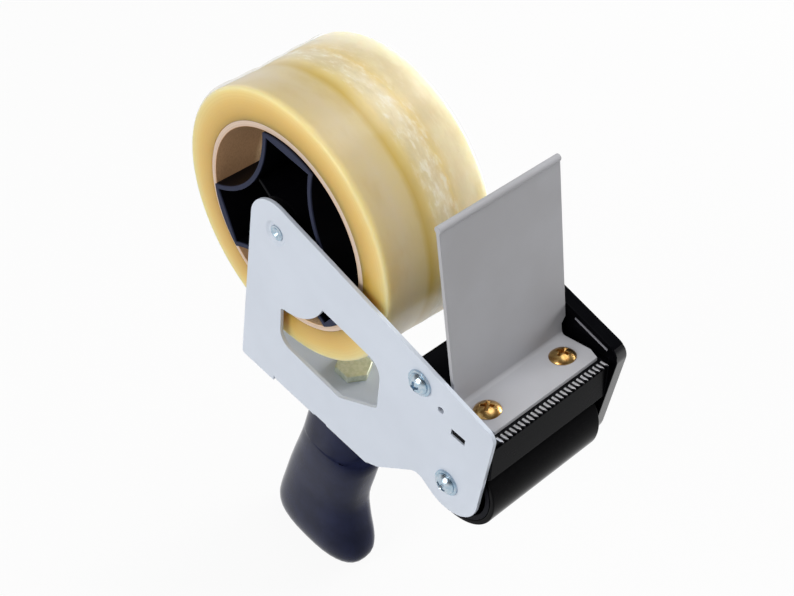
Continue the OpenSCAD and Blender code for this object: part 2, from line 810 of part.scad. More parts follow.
module roller_core() {
    rim = 2;
    hub_d = roller_axle_d + 6;
    sink = 5;
    spokes = 6;
    core_r_in = roller_core_r - rim;
    color([0.1, 0.1, 0.12]) placed() difference() {
        union() {
            ring_y(nose, roller_y0, roller_y1, 2 * (roller_core_r - fit_gap), 2 * core_r_in);
            bar_y(nose, roller_y0, roller_y1, hub_d);
            for (k = [0 : spokes - 1]) translate([nose[0], roller_y0 + sink, nose[1]])
                rotate([0, 360 * k / spokes, 0]) translate([hub_d / 4, 0, -1])
                    cube([core_r_in + 1 - hub_d / 4, roller_y1 - roller_y0 - 2 * sink, 2]);
        }
        bar_y(nose, roller_y0 - 1, roller_y1 + 1, roller_axle_d + 2 * run_gap);
    }
}

module roller_sleeve() {
    color([0.05, 0.05, 0.06]) placed()
        ring_y(nose, roller_y0, roller_y1, roller_d, 2 * roller_core_r);
}

module roller_axle() {
    depth = frame_screw_l - sheet_t;
    color([0.75, 0.77, 0.8]) placed() difference() {
        bar_y(nose, 0, cheek_y0, roller_axle_d);
        bar_y(nose, -1, depth, frame_screw_d + 2 * fit_gap);
        bar_y(nose, cheek_y0 - depth, cheek_y0 + 1, frame_screw_d + 2 * fit_gap);
    }
}

module roller_spacers() {
    color([0.72, 0.74, 0.76]) placed() {
        ring_y(nose, 0, spacer_t, spacer_d, roller_axle_d + 2 * fit_gap);
        ring_y(nose, cheek_y0 - spacer_t, cheek_y0, spacer_d, roller_axle_d + 2 * fit_gap);
    }
}

// Places one frame screw or washer on the side plate, with the screw pointing to +Z
module on_plate(at) {
    translate([at[0], -sheet_t, at[1]]) rotate([-90, 0, 0]) children();
}

// Places one frame screw or washer on the cheek
module on_cheek(at) {
    translate([at[0], cheek_y1, at[1]]) rotate([90, 0, 0]) children();
}

module frame_screw() {
    translate([0, 0, -washer_t]) {
        mirror([0, 0, 1]) domed_head(frame_head_d, frame_head_h);
        translate([0, 0, -eps]) cylinder(d = frame_screw_d, h = frame_screw_l + eps);
    }
}

module frame_screws() {
    color([0.75, 0.79, 0.83]) placed() {
        on_plate(head_screw) frame_screw();
        on_plate(nose) frame_screw();
        on_cheek(nose) frame_screw();
    }
}

module screw_washer() {
    translate([0, 0, -washer_t]) difference() {
        cylinder(d = frame_washer_d, h = washer_t);
        translate([0, 0, -1]) cylinder(d = frame_screw_d + 2 * fit_gap, h = washer_t + 2);
    }
}

module screw_washers() {
    color([0.72, 0.75, 0.79]) placed() {
        on_plate(head_screw) screw_washer();
        on_plate(nose) screw_washer();
        on_cheek(nose) screw_washer();
    }
}

// Grip stations from the floor down: [depth, rear x, front x, half thickness]
grip = [
    [0, 4.4, 33, grip_half - 0.3],
    [8, 2.9, 30, grip_half - 0.3],
    [scoop_h, -0.8, 26.8, grip_half - 0.3],
    [shoulder_h - 1, -4.5, 27.2, grip_half - 0.2],
    [shoulder_h, -4.8, 31.2, grip_half],
    [shoulder_h + 9, -7, 30.9, grip_half + 0.1],
    [waist_h, -13.4, 27.4, grip_half - 0.2],
    [flare_h - 10, -16.9, 29.8, grip_half + 0.3],
    [flare_h, -19.2, 32.6, grip_half + 0.8],
    [handle_l - 9, -20.4, 33.2, grip_half + 0.6],
    [handle_l - 3.3, -19.9, 30.8, grip_half - 0.8],
    [handle_l + 0.5, -16.4, 26.3, grip_half - 4]
];

// Slope of the grip's values at a station
function grip_slope(i) =
    let (last = len(grip) - 1, a = max(i - 1, 0), b = min(i + 1, last))
    (grip[b] - grip[a]) / (grip[b][0] - grip[a][0]);

// Smooth values of the grip a share t of the way past station i
function grip_between(i, t) =
    let (step = grip[i + 1][0] - grip[i][0])
    (1 + 2 * t) * pow(1 - t, 2) * grip[i] + t * pow(1 - t, 2) * step * grip_slope(i)
    + t * t * (3 - 2 * t) * grip[i + 1] - t * t * (1 - t) * step * grip_slope(i + 1);

// Ring of the grip: a squared-off ellipse
grip_sides = 36;
function grip_ring(v) =
    let (mid = (v[1] + v[2]) / 2, deep = (v[2] - v[1]) / 2, square = 2 / 2.5)
    [for (s = [0 : grip_sides - 1])
        let (c = cos(360 * s / grip_sides), n = sin(360 * s / grip_sides))
        [
            mid + deep * sign(c) * pow(abs(c), square),
            handle_y + v[3] * sign(n) * pow(abs(n), square),
            -floor_drop - v[0]
        ]];

module grip_body() {
    per_step = 3;
    n = grip_sides;
    rings = [
        for (i = [0 : len(grip) - 2], k = [0 : per_step - 1]) grip_ring(grip_between(i, k / per_step)),
        grip_ring(grip[len(grip) - 1])
    ];
    last = len(rings) - 1;
    sides = [for (k = [0 : last - 1], s = [0 : n - 1])
        let (a = k * n + s, b = k * n + (s + 1) % n)
        each [[a, b, a + n], [b, b + n, a + n]]];
    top = [for (s = [1 : n - 2]) [0, s + 1, s]];
    bottom = [for (s = [1 : n - 2]) [last * n, last * n + s, last * n + s + 1]];
    polyhedron([for (r = rings) each r], concat(sides, top, bottom));
}

module handle() {
    color([0.13, 0.13, 0.17]) placed() difference() {
        grip_body();
        translate([handle_x, handle_y, -floor_drop - insert_l])
            cylinder(d = insert_d, h = insert_l + 1);
        translate([handle_x - handle_l, handle_y - handle_l, z_low - handle_l])
            cube([2 * handle_l, 2 * handle_l, handle_l]);
    }
}

module handle_insert() {
    color([0.78, 0.63, 0.3]) placed() translate([handle_x, handle_y, -floor_drop - insert_l]) difference() {
        cylinder(d = insert_d - 2 * fit_gap, h = insert_l);
        translate([0, 0, -1]) cylinder(d = bolt_d + 2 * fit_gap, h = insert_l + 2);
    }
}

module handle_bolt() {
    chamfer = 0.5;
    color([0.72, 0.75, 0.72]) placed() translate([handle_x, handle_y, floor_top]) {
        intersection() {
            cylinder(d = bolt_af / cos(30), h = bolt_head_h, $fn = 6);
            union() {
                cylinder(d = 2 * bolt_af, h = bolt_head_h - chamfer);
                translate([0, 0, bolt_head_h - chamfer - eps])
                    cylinder(d1 = bolt_af / cos(30), d2 = bolt_af - chamfer, h = chamfer + eps);
            }
        }
        translate([0, 0, -sheet_t - bolt_reach]) cylinder(d = bolt_d, h = sheet_t + bolt_reach + eps);
    }
}

side_plate();
hub_axle();
tape_hub();
tape_core();
tape_roll();
brake_washer();
brake_spring();
spring_seat();
tension_knob();
head_housing();
cutter_blade();
press_plate();
press_screws();
press_nuts();
roller_core();
roller_sleeve();
roller_axle();
roller_spacers();
frame_screws();
screw_washers();
handle();
handle_insert();
handle_bolt();
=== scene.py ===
# %% [markdown]
# # A hand-held packing tape dispenser
# The dispenser is loaded from one side: a steel plate carries the tape hub, the moulded head and the grip.
# All its solid pieces come in as a fixed frame at their real size. This lesson gives each one its finish,
# remakes the pieces that need a finer form than the solids have, and sets up the studio round them.

# %% Load the frame and keep its box
import json
import math

import bmesh
import bpy
from mathutils import Matrix, Quaternion, Vector


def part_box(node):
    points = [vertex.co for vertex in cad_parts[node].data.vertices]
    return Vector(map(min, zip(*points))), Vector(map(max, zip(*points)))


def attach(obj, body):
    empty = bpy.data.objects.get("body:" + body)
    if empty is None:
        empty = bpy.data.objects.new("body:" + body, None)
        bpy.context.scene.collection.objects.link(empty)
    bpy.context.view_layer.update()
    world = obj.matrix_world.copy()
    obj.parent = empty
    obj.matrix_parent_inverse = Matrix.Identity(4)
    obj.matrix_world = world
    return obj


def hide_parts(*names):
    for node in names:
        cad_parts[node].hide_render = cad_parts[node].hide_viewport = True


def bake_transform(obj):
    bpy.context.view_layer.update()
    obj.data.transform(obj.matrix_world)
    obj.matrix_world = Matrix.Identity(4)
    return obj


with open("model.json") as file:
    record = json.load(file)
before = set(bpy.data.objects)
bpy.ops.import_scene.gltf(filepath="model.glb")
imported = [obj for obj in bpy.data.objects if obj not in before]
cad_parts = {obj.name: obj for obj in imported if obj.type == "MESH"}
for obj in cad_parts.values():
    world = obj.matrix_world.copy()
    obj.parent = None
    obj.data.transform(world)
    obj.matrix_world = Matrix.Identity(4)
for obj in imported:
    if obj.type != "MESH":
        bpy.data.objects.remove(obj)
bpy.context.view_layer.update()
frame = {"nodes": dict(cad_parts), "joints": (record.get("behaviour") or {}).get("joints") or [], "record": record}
MM = 0.001

# %% [markdown]
# ## Places that everything else hangs on
# The joints of the frame say where the hub and the press roller turn. Reading them there, and not writing
# the numbers again, keeps every remade piece on its axle.

# %% Axes of the hub and the roller
joints = {joint["name"]: joint for joint in frame["joints"]}
hub_axis = Vector(joints["roll_spin"]["pos_m"])
roller_axis = Vector(joints["roller_spin"]["pos_m"])
print("hub axis:", tuple(hub_axis), "roller axis:", tuple(roller_axis))

# %% [markdown]
# ## Camera
# The view looks down over the cutter onto the steel plate, with the camera rolled a little. Azimuth,
# elevation and roll are easier to read than a matrix, so the turn is built from those three angles.

# %% Camera at the viewing angle
IMAGE_W = 794
IMAGE_H = 596
FOCAL_PX = 1415.3
SENSOR_MM = 36
CAMERA_AZIMUTH = 42.73
CAMERA_ELEVATION = 46.58
CAMERA_ROLL = 5.97
CAMERA_PLACE = Vector((238.7, -256.4, 537.5)) * MM

azimuth = math.radians(CAMERA_AZIMUTH)
elevation = math.radians(CAMERA_ELEVATION)
back = Vector((
    math.sin(azimuth) * math.cos(elevation),
    -math.cos(azimuth) * math.cos(elevation),
    math.sin(elevation),
))
camera = bpy.data.objects.new("camera", bpy.data.cameras.new("camera"))
bpy.context.scene.collection.objects.link(camera)
camera.data.sensor_width = SENSOR_MM
camera.data.lens = SENSOR_MM * FOCAL_PX / IMAGE_W
camera.rotation_mode = "QUATERNION"
camera.location = CAMERA_PLACE
roll_turn = Quaternion((0, 0, 1), math.radians(CAMERA_ROLL))
camera.rotation_quaternion = (-back).to_track_quat("-Z", "Y") @ roll_turn
camera.data.clip_start = 0.01
camera.data.clip_end = 100
bpy.context.scene.camera = camera
print("lens in mm:", round(camera.data.lens, 2))

# %% [markdown]
# ## Shader sums as plain expressions
# A finish is a small sum over noise and position. Wiring Math nodes by hand hides that sum, so one class
# wraps a socket: an expression such as `1 - mask` adds the Math node itself, and one method makes any
# other node.

# %% A socket that can be added and multiplied
class Wire:
    def __init__(self, tree, socket=None):
        self.tree = tree
        self.socket = socket

    def make(self, kind, inputs=None, out=0, stops=None, **settings):
        node = self.tree.nodes.new(kind)
        for name, value in settings.items():
            setattr(node, name, value)
        for index, (place, colour) in enumerate(stops or []):
            ramp = node.color_ramp.elements
            stop = ramp[index] if index < 2 else ramp.new(place)
            stop.position = place
            stop.color = colour
        for key, value in (inputs or {}).items():
            if isinstance(value, Wire):
                self.tree.links.new(value.socket, node.inputs[key])
            else:
                node.inputs[key].default_value = value
        return Wire(self.tree, node.outputs[out]) if node.outputs else None

    def math(self, operation, *values):
        return self.make("ShaderNodeMath", dict(enumerate(values)), operation=operation)

    def __add__(self, other):
        return self.math("ADD", self, other)

    def __sub__(self, other):
        return self.math("SUBTRACT", self, other)

    def __mul__(self, other):
        return self.math("MULTIPLY", self, other)

    def __truediv__(self, other):
        return self.math("DIVIDE", self, other)

    def __pow__(self, other):
        return self.math("POWER", self, other)

    def __rsub__(self, other):
        return self.math("SUBTRACT", other, self)

    __radd__ = __add__
    __rmul__ = __mul__


print("shader expressions ready")

# %% [markdown]
# ## Position, noise and colour
# Every finish reads Object coordinates, because each piece sits at the origin with its place in its mesh.
# The helpers here turn them into millimetres, spread noise over them and mix colours given as screen
# values.

# %% Helpers for finishes
def screen(red, green, blue):
    parts = [value / 255 for value in (red, green, blue)]
    parts = [p / 12.92 if p <= 0.04045 else ((p + 0.055) / 1.055) ** 2.4 for p in parts]
    return (*parts, 1)


def place_mm(start, centre=(0, 0, 0)):
    spot = start.make("ShaderNodeTexCoord", out="Object")
    spot = start.make("ShaderNodeVectorMath", {0: spot, 1: tuple(centre)}, operation="SUBTRACT")
    return start.make("ShaderNodeVectorMath", {0: spot, "Scale": 1 / MM}, operation="SCALE")


def split(vector):
    node = vector.make("ShaderNodeSeparateXYZ", {0: vector})
    outputs = node.socket.node.outputs
    return [Wire(vector.tree, outputs[axis]) for axis in "XYZ"]


def noise(spot, per_mm, detail=3.0, rough=0.55):
    stretch = per_mm if isinstance(per_mm, tuple) else (per_mm,) * 3
    scaled = spot.make("ShaderNodeVectorMath", {0: spot, 1: stretch}, operation="MULTIPLY")
    settings = {"Vector": scaled, "Scale": 1.0, "Detail": detail, "Roughness": rough}
    return spot.make("ShaderNodeTexNoise", settings)


def ramp(value, low, high):
    steps = {"Value": value, "From Min": low, "From Max": high}
    return value.make("ShaderNodeMapRange", steps, interpolation_type="SMOOTHSTEP")


def mix(mask, first, second):
    return mask.make("ShaderNodeMix", {0: mask, 6: first, 7: second}, out=2, data_type="RGBA")


def bump(height, depth_mm, strength=1.0):
    settings = {"Height": height, "Distance": depth_mm * MM, "Strength": strength}
    return height.make("ShaderNodeBump", settings, out="Normal")


def finish(name, recipe, **fixed):
    material = bpy.data.materials.new(name)
    material.use_nodes = True
    shader = material.node_tree.nodes["Principled BSDF"]
    for socket, value in fixed.items():
        shader.inputs[socket.replace("_", " ")].default_value = value
    for socket, wire in recipe(Wire(material.node_tree)).items():
        material.node_tree.links.new(wire.socket, shader.inputs[socket])
    return material


print("finish helpers ready")

# %% [markdown]
# ## Rounded edges
# No real edge is perfectly sharp: sheet steel is tumbled and painted, plastic leaves a mould with small
# radii. Those radii catch the light and draw every outline. The solids have sharp edges, so most pieces are
# a copy of their solid with the corners merged, the flat triangles joined and the sharp edges bevelled.
# Weighted normals keep the large faces flat. Modelling each piece again would risk its fit, and a bevel node
# in the shader would be lost outside Blender.

# %% Eased copies of the solids
MERGE_DISTANCE = 2e-6
FLAT_ANGLE = math.radians(0.5)
SHARP_ANGLE = math.radians(30)
EDGE_MM = {
    "sheet": 0.2, "hub": 0.25, "knob": 0.4, "grip": 0.8, "roller": 0.25, "head": 0.35, "sleeve": 0.6,
    "turned": 0.12, "insert": 0.15, "blade": 0.02, "screw": 0.07, "board": 0.25,
}
body_of = {node: body for body, nodes in frame["record"]["behaviour"]["bodies"].items() for node in nodes}


def merged(node):
    shape = bmesh.new()
    shape.from_mesh(frame["nodes"][node].data)
    bmesh.ops.remove_doubles(shape, verts=shape.verts, dist=MERGE_DISTANCE)
    return shape


def ease(shape, width_mm, segments=2, spared=None):
    bmesh.ops.dissolve_limit(shape, angle_limit=FLAT_ANGLE, verts=shape.verts, edges=shape.edges)
    sharp = [edge for edge in shape.edges if edge.calc_face_angle(0) > SHARP_ANGLE]
    if spared:
        sharp = [edge for edge in sharp if not all(spared(vertex.co) for vertex in edge.verts)]
    bmesh.ops.bevel(
        shape, geom=sharp, offset=width_mm * MM, offset_type="OFFSET", segments=segments,
        profile=0.5, affect="EDGES", clamp_overlap=False, loop_slide=True)


def link(name, data):
    holder = bpy.data.objects.new(name, data)
    bpy.context.scene.collection.objects.link(holder)
    return holder


def flatten(piece):
    depsgraph = bpy.context.evaluated_depsgraph_get()
    result = bpy.data.meshes.new_from_object(piece.evaluated_get(depsgraph), depsgraph=depsgraph)
    piece.modifiers.clear()
    piece.data = result


def smooth(piece):
    piece.data.shade_smooth()
    piece.data.set_sharp_from_angle(angle=SHARP_ANGLE)
    weighted = piece.modifiers.new("weighted normals", "WEIGHTED_NORMAL")
    weighted.keep_sharp = True
    flatten(piece)


def shape_to_piece(name, shape, *materials):
    mesh = bpy.data.meshes.new(name)
    shape.to_mesh(mesh)
    shape.free()
    for material in materials:
        mesh.materials.append(material)
    return link(name, mesh)


def stands_for(piece, node):
    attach(piece, body_of[node])
    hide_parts(node)


def eased(node, name, width_mm, material, spared=None):
    shape = merged(node)
    ease(shape, width_mm, spared=spared)
    piece = shape_to_piece(name, shape, material)
    smooth(piece)
    stands_for(piece, node)
    print(name, "has", len(piece.data.polygons), "faces")
    return piece


print("bodies:", sorted(set(body_of.values())))

# %% [markdown]
# ## Painted steel
# The side plate and the press plate are sheet steel under a thin satin paint. Powder paint dries with a
# faint orange peel, so a fine bump breaks the reflections, and a slow noise keeps the large face from
# looking printed.

# %% Paint for the plates
def paint(colour, shade, rough):
    def recipe(start):
        spot = place_mm(start)
        cloud = noise(spot, 0.03)
        peel = noise(spot, 1.4, detail=2)
        return {
            "Base Color": mix(ramp(cloud, 0.3, 0.7), shade, colour),
            "Roughness": rough + 0.1 * (noise(spot, 0.25) - 0.5),
            "Normal": bump(peel, 0.02, 0.35),
        }
    return recipe


plate_paint = finish("plate paint", paint(screen(208, 216, 229), screen(203, 211, 224), 0.42))
# The press plate's paint is greyer than the plate's and darkened further as painted shade for its forward face.
press_paint_and_shade = finish(
    "press plate paint", paint(screen(178, 179, 184), screen(172, 172, 176), 0.4), Specular_IOR_Level=0.2)
eased("side_plate", "plate_sheet", EDGE_MM["sheet"], plate_paint)
eased("press_plate", "press_sheet", EDGE_MM["sheet"], press_paint_and_shade)

# %% [markdown]
# ## Moulded plastic
# Hub, head, knob, roller body and grip are dark mouldings. Black plastic shows its shape almost only by
# what it mirrors, so roughness matters more than colour: a fine grain on hub and head, a smoother skin on
# the bluish grip. The hub's end faces are painted paler than its hollows, though both are one plastic:
# painted light on the end faces and painted shade in the hollows.

# %% Black mouldings
hub_low, hub_high = [Vector(corner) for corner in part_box("tape_hub")]
HUB_MIDDLE = (hub_low.y + hub_high.y) / 2
HUB_HALF = (hub_high.y - hub_low.y) / 2 / MM


def moulding(colour, shade, rough, grain_per_mm, grain_mm, rim=None):
    def recipe(start):
        spot = place_mm(start)
        grain = noise(spot, grain_per_mm, detail=2)
        skin = mix(ramp(noise(spot, 0.06), 0.3, 0.7), shade, colour)
        # Painted light and shade: the hub's end faces get the paler rim colour, the hollows keep the dark one.
        if rim:
            from_middle = split(place_mm(start, (0, HUB_MIDDLE, 0)))[1]
            at_end = from_middle.math("ABSOLUTE", from_middle)
            skin = mix(ramp(at_end, HUB_HALF - 0.8, HUB_HALF - 0.3), skin, rim)
        return {
            "Base Color": skin,
            "Roughness": rough + 0.12 * (noise(spot, 0.12) - 0.5),
            "Normal": bump(grain, grain_mm, 0.5),
        }
    return recipe


dull = {"Specular_IOR_Level": 0.02, "Specular_Tint": (0.82, 0.88, 1.0, 1)}
glossy = {"Specular_IOR_Level": 0.06, "Specular_Tint": (0.72, 0.8, 1.0, 1)}
head_plastic = finish(
    "head moulding", moulding(screen(8, 8, 11), screen(5, 5, 7), 0.26, 2.2, 0.01), **dull)
# The rim colour below is painted light on the hub's end faces.
hub_plastic = finish("hub moulding", moulding(
    screen(10, 10, 14), screen(7, 7, 10), 0.34, 1.5, 0.01, rim=screen(50, 54, 73)), **dull)
knob_plastic = finish(
    "knob moulding", moulding(screen(22, 22, 25), screen(17, 17, 20), 0.36, 2.0, 0.02), **glossy)
grip_plastic = finish(
    "grip moulding", moulding(screen(34, 38, 64), screen(26, 29, 50), 0.14, 1.2, 0.008), **glossy)
roller_plastic = finish(
    "roller body", moulding(screen(24, 25, 30), screen(19, 20, 24), 0.4, 1.8, 0.02), **dull)
eased("tape_hub", "hub_moulding", EDGE_MM["hub"], hub_plastic)
eased("tension_knob", "knob_moulding", EDGE_MM["knob"], knob_plastic)
eased("handle", "grip_moulding", EDGE_MM["grip"], grip_plastic)
eased("roller_core", "roller_body", EDGE_MM["roller"], roller_plastic)

# %% [markdown]
# ## Head with a raised line
# The head carries the seat of the cutter, and its cheek guides the tape. A fine raised line on the cheek is
# painted pale, a painted highlight where its edge catches the light, and the cheek's front edge is polished.
# The line is too fine for the bevel, so its edges are spared. Its place is read from the solid, and the
# faces are picked by place and direction, so no mask is needed.

# %% Head moulding
CHEEK_INNER = 26.15
LINE_HEIGHT = 0.3
NEAR_LINE = 1.0
FLAT_SLACK = 0.02
HIGHLIGHT_FROM = 0.05
# Painted highlight: the pale colour of the raised line stands for the light its edge catches.
painted_highlight = finish(
    "rubbed plastic", moulding(screen(150, 150, 157), screen(126, 126, 133), 0.4, 2.2, 0.01), **glossy)
polished = finish(
    "polished plastic", moulding(screen(16, 16, 20), screen(12, 12, 15), 0.2, 2.2, 0.006),
    Specular_IOR_Level=0.65)


def raised_line():
    shape = merged("head_housing")
    top = (CHEEK_INNER - LINE_HEIGHT) * MM
    corners = [v.co.copy() for v in shape.verts if abs(v.co.y - top) < FLAT_SLACK * MM]
    corners.sort(key=lambda spot: spot.x)
    shape.free()
    return corners[0], corners[-1]


line_rear, line_front = raised_line()


def on_line(spot):
    along = (line_front - line_rear).normalized()
    away = (spot - line_rear) - along * (spot - line_rear).dot(along)
    return away.length < NEAR_LINE * MM and spot.y < (CHEEK_INNER + FLAT_SLACK) * MM


def dress_head():
    piece = eased("head_housing", "head_moulding", EDGE_MM["head"], head_plastic, spared=on_line)
    piece.data.materials.append(painted_highlight)
    piece.data.materials.append(polished)
    counts = [0, 0, 0]
    for face in piece.data.polygons:
        depth = face.center.y / MM - CHEEK_INNER
        # Faces on the raised line get the painted highlight.
        if on_line(face.center) and depth < -HIGHLIGHT_FROM:
            face.material_index = 1
        elif depth > LINE_HEIGHT and face.normal.x > 0.5:
            face.material_index = 2
        counts[face.material_index] += 1
    return counts


print("plain, rubbed and polished faces of the head:", dress_head())

# %% [markdown]
# ## Rubber of the press roller
# The roller's sleeve is ground rubber: nearly black, with fine grinding marks round it and a dull sheen.

# %% Rubber sleeve
def rubber(start):
    spot = place_mm(start, roller_axis)
    marks = noise(spot, (0.3, 6.0, 0.3), detail=2)
    return {
        "Base Color": mix(ramp(noise(spot, 0.4), 0.3, 0.7), screen(5, 5, 7), screen(9, 9, 11)),
        "Roughness": 0.12 + 0.05 * (marks - 0.5),
        "Normal": bump(marks, 0.006, 0.4),
    }


ground_rubber = finish("ground rubber", rubber, Specular_IOR_Level=0.03)
eased("roller_sleeve", "rubber_sleeve", EDGE_MM["sleeve"], ground_rubber)

# %% [markdown]
# ## Plated and bare metal
# Screws, washers and axles are bright metal, the two screws of the press plate have the yellow plating, and
# the cutter is a dark hardened strip. Plating is never even, so its tint and gloss drift a little over each
# piece.

# %% Metals
def metal(colour, tint, rough, per_mm=0.6):
    def recipe(start):
        spot = place_mm(start)
        drift = noise(spot, per_mm)
        return {
            "Base Color": mix(ramp(drift, 0.35, 0.65), colour, tint),
            "Roughness": rough + 0.14 * (noise(spot, 1.8) - 0.5),
            "Normal": bump(noise(spot, 5.0, detail=2), 0.006, 0.4),
        }
    return recipe


def plated(name, colour, tint, rough, metallic=1.0):
    return finish(name, metal(screen(*colour), screen(*tint), rough), Metallic=metallic)


zinc = plated("blue zinc plate", (190, 202, 212), (166, 188, 204), 0.24)
yellow_zinc = plated("yellow zinc plate", (198, 164, 104), (164, 122, 70), 0.3)
turned_steel = plated("turned steel", (186, 189, 194), (172, 176, 182), 0.3)
spring_steel = plated("spring wire", (176, 178, 184), (160, 163, 170), 0.28)
insert_brass = plated("turned brass", (205, 168, 92), (190, 150, 80), 0.32)
blade_steel = plated("dark hardened strip", (40, 40, 44), (30, 30, 34), 0.34)
pale_zinc = plated("pale zinc plate", (228, 231, 208), (212, 217, 188), 0.42, metallic=0.6)
for node, name in (("screw_washers", "zinc_washers"), ("hub_axle", "hub_spindle"),
                   ("brake_washer", "friction_washer"), ("spring_seat", "spring_washer")):
    eased(node, name, EDGE_MM["turned"], zinc)
eased("handle_bolt", "grip_bolt", EDGE_MM["turned"], pale_zinc)
for node, name in (("roller_axle", "roller_spindle"), ("roller_spacers", "spacer_rings"),
                   ("press_nuts", "hidden_nuts")):
    eased(node, name, EDGE_MM["turned"], turned_steel)
eased("handle_insert", "brass_insert", EDGE_MM["insert"], insert_brass)

# %% [markdown]
# ## Ground cutter
# The cutter is a dark strip whose teeth are ground to a ridge, and only the ground faces are bright. They
# are found by where they lie and how they lean, so the copy of the solid gets two finishes. Ground steel is
# paler than the dark strip by itself, but a mask that repeats with the teeth paints their ridges near white
# and leaves the gullets dark: a painted highlight on the ridges and painted shade in the gullets.

# %% Blade with bright teeth
LEAN = math.radians(14.2)
TOOTH_DEPTH = 3.3
TOOTH_PITCH = 2.0
along_seat = Vector((math.cos(LEAN), 0, math.sin(LEAN)))
off_seat = Vector((-math.sin(LEAN), 0, math.cos(LEAN)))
LEAST_LEAN = 0.3
MOST_LEAN = 0.97
blade_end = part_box("cutter_blade")[0][1]


def ground_ridges(start):
    step = split(place_mm(start, (0, blade_end, 0)))[1] / TOOTH_PITCH
    to_gullet = step.math("PINGPONG", step, 0.5)
    # Painted highlight on the ridges, painted shade in the gullets.
    ridge_glint = ramp(to_gullet, 0.2, 0.3)
    return {
        "Base Color": mix(ridge_glint, screen(30, 30, 34), screen(242, 242, 245)),
        "Roughness": 0.4 + 0.1 * (noise(place_mm(start), 3.0) - 0.5),
    }


ground_steel = finish("ground teeth", ground_ridges, Metallic=1.0)


def ground_blade():
    shape = merged("cutter_blade")
    ease(shape, EDGE_MM["blade"], segments=1)
    tip = max(vertex.co.dot(along_seat) for vertex in shape.verts)
    ground = 0
    for face in shape.faces:
        in_teeth = face.calc_center_median().dot(along_seat) > tip - TOOTH_DEPTH * MM
        if in_teeth and LEAST_LEAN < face.normal.dot(off_seat) < MOST_LEAN:
            face.material_index = 1
            ground += 1
    piece = shape_to_piece("toothed_blade", shape, blade_steel, ground_steel)
    smooth(piece)
    stands_for(piece, "cutter_blade")
    return ground


print("ground faces on the teeth:", ground_blade())

# %% [markdown]
# ## Screws
# All five screws are one shape in two sizes: a turned blank with a domed head and a punched cross. The sizes
# and places are read from the solids. Geometry Nodes put one blank on each place, because a repeated piece
# should have one shape and a list of places. The cross is cut with a boolean, as the punch does it.

# %% Read the screws and set them with Geometry Nodes
SCREW_STEPS = 48
DOME_STEPS = 8
HEAD_RIM = 0.3
CROSS_LENGTH = 0.56
CROSS_WIDTH = 0.15
CROSS_FLOOR = 0.35
CROSS_TOP = 1.2
FLOOR_SHARE = 0.62
TOP_SHARE = 1.15
DOME_TOP_R = 0.03


def islands(node):
    shape = merged(node)
    left = set(shape.verts)
    groups = []
    while left:
        stack = [left.pop()]
        group = []
        while stack:
            vertex = stack.pop()
            group.append(vertex.co.copy())
            for edge in vertex.link_edges:
                other = edge.other_vert(vertex)
                if other in left:
                    left.remove(other)
                    stack.append(other)
        groups.append(group)
    shape.free()
    return groups


def read_screw(points, outward):
    upright = outward.rotation_difference(Vector((0, 0, 1)))
    points = [upright @ point for point in points]
    middle = [(min(p[k] for p in points) + max(p[k] for p in points)) / 2 for k in (0, 1)]
    radius = [math.hypot(p.x - middle[0], p.y - middle[1]) for p in points]
    head_r = max(radius)
    base = min(p.z for p, r in zip(points, radius) if r > 0.97 * head_r)
    bottom = min(p.z for p in points)
    return {
        "head_r": head_r,
        "head_h": max(p.z for p in points) - base,
        "shank_r": max(r for p, r in zip(points, radius) if p.z < bottom + 0.1 * MM),
        "length": base - bottom,
        "place": upright.inverted() @ Vector((*middle, base)),
    }


def lathe(profile, steps):
    shape = bmesh.new()
    turns = [2 * math.pi * k / steps for k in range(steps)]
    rings = [[shape.verts.new((r * math.cos(turn), r * math.sin(turn), z)) for turn in turns]
             for r, z in profile]
    for low, high in zip(rings, rings[1:]):
        for k in range(steps):
            shape.faces.new((low[k], low[(k + 1) % steps], high[(k + 1) % steps], high[k]))
    shape.faces.new(list(reversed(rings[0])))
    shape.faces.new(rings[-1])
    return shape


def cross_punch(head_r, head_h):
    shape = bmesh.new()
    wing = (CROSS_LENGTH * head_r, CROSS_WIDTH * head_r)
    corners = [(-1, -1), (1, -1), (1, 1), (-1, 1)]
    for turn in (0, math.pi / 2):
        rings = []
        for z, grow in ((CROSS_FLOOR * head_h, FLOOR_SHARE), (CROSS_TOP * head_h, TOP_SHARE)):
            spots = [Vector((x * wing[0] * grow, y * wing[1] * grow, z)) for x, y in corners]
            rings.append([shape.verts.new(Matrix.Rotation(turn, 3, "Z") @ spot) for spot in spots])
        low, high = rings
        shape.faces.new(list(reversed(low)))
        shape.faces.new(high)
        for k in range(4):
            shape.faces.new((low[k], low[(k + 1) % 4], high[(k + 1) % 4], high[k]))
    return shape


